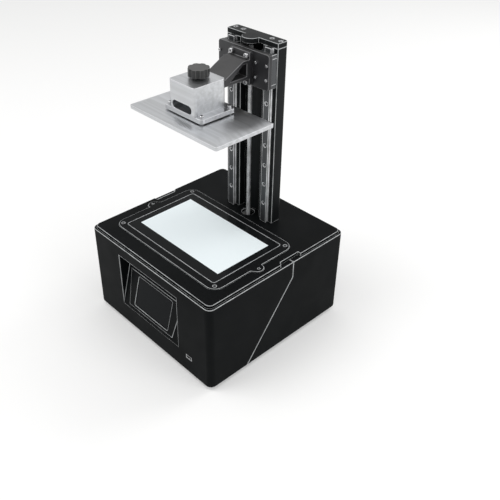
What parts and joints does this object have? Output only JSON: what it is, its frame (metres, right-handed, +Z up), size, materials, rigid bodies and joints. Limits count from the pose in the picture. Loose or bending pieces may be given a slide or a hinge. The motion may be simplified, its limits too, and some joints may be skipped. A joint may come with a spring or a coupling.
{
  "type": "resin printer",
  "caption": "Desktop resin 3D printer with a flat exposure screen in a square deck, a front touch panel and a twin-rail tower that lifts a build plate.",
  "frame": {"origin": "middle of the body on the surface the feet stand on", "axes": "+Z up, front panel towards -Y, +X to the right seen from the front"},
  "size_m": [0.339, 0.339, 0.54],
  "materials": {
    "housing_black": "fine moulded texture, satin",
    "deck_black": "black powder coat, satin",
    "frame_black": "black anodised, satin",
    "tower_black": "black anodised extrusion",
    "machined_aluminium": "fine machined",
    "carriage_black": "black anodised, machined",
    "rail_steel": "ground and polished",
    "screw_steel": "zinc plated",
    "dark_steel": "black oxide",
    "brass_nut": "turned",
    "screen_glass": "polished black glass",
    "screen_film": "satin, evenly lit",
    "seal_black": "foam",
    "foot_rubber": "matt",
    "touch_glass": "polished",
    "inlet_black": "moulded",
    "fan_black": "moulded",
    "board_green": "solder mask",
    "board_white": "white solder mask",
    "lens_clear": "clear moulded",
    "sheet_steel": "plated sheet",
    "knob_black": "moulded"
  },
  "bodies": {
    "base": {"base_plate": "deck_black", "rubber_feet": "foot_rubber", "rear_housing": "housing_black", "front_fascia": "housing_black", "housing_screws": "screw_steel", "deck_plate": "deck_black", "deck_screws": "dark_steel", "lcd_frame": "frame_black", "lcd_frame_screws": "dark_steel", "lcd_seal": "seal_black", "lcd_glass": "screen_glass", "lcd_film": "screen_film", "touch_bezel": "inlet_black", "touch_screen": "touch_glass", "touch_board": "board_green", "usb_socket": "screw_steel", "power_inlet": "inlet_black", "exhaust_fan_frame": "fan_black", "exhaust_guard": "deck_black", "guard_screws": "dark_steel", "light_hood": "sheet_steel", "lens_array": "lens_clear", "led_board": "board_white", "heat_sink": "machined_aluminium", "cooling_fan_frame": "fan_black", "main_board": "board_green", "lcd_driver_board": "board_green", "power_supply": "sheet_steel", "motor_bracket": "sheet_steel", "z_motor": "dark_steel", "left_pillar": "tower_black", "right_pillar": "tower_black", "tower_back_plate": "tower_black", "left_rail": "rail_steel", "right_rail": "rail_steel", "rail_screws": "dark_steel", "tower_cap": "tower_black", "cap_screws": "screw_steel", "top_bearing": "rail_steel", "limit_sensor": "fan_black"},
    "carriage": {"left_block": "rail_steel", "right_block": "rail_steel", "carriage_plate": "carriage_black", "carriage_screws": "screw_steel", "lead_nut": "brass_nut", "nut_screws": "screw_steel", "platform_arm": "carriage_black", "arm_screws": "screw_steel", "sensor_flag": "sheet_steel"},
    "platform": {"platform_bracket": "machined_aluminium", "build_plate": "machined_aluminium", "levelling_screws": "screw_steel"},
    "clamp_knob": {"clamp_knob": "knob_black"},
    "lead_screw": {"lead_screw": "rail_steel", "shaft_coupler": "machined_aluminium", "motor_shaft": "screw_steel"},
    "exhaust_rotor": {"exhaust_fan_rotor": "fan_black"},
    "cooling_rotor": {"cooling_fan_rotor": "fan_black"},
    "power_rocker": {"power_rocker": "inlet_black"}
  },
  "joints": [
    {"name": "platform_lift", "type": "slide", "parent": "base", "child": "carriage", "axis": [0, 0, 1], "range_m": [-0.235, 0]},
    {"name": "lead_screw_turn", "type": "hinge", "parent": "base", "child": "lead_screw", "pos_m": [0, 0.082, 0.3], "axis": [0, 0, 1], "range_deg": [0, 10600]},
    {"name": "platform_release", "type": "slide", "parent": "carriage", "child": "platform", "axis": [0, -1, 0], "range_m": [0, 0.075]},
    {"name": "clamp_knob_turn", "type": "hinge", "parent": "platform", "child": "clamp_knob", "pos_m": [0, -0.035, 0.49705], "axis": [0, 0, 1], "range_deg": [0, 720]},
    {"name": "exhaust_fan_spin", "type": "hinge", "parent": "base", "child": "exhaust_rotor", "pos_m": [0.09, 0.1575, 0.11], "axis": [0, 1, 0], "continuous": true},
    {"name": "cooling_fan_spin", "type": "hinge", "parent": "base", "child": "cooling_rotor", "pos_m": [0, -0.035, 0.027], "axis": [0, 0, 1], "continuous": true},
    {"name": "power_switch_rock", "type": "hinge", "parent": "base", "child": "power_rocker", "pos_m": [-0.09, 0.1645, 0.104], "axis": [1, 0, 0], "range_deg": [-16, 0]}
  ],
  "couplings": [
    {"joint": "lead_screw_turn", "follows": "platform_lift", "rad_per_m": -785.4}
  ]
}
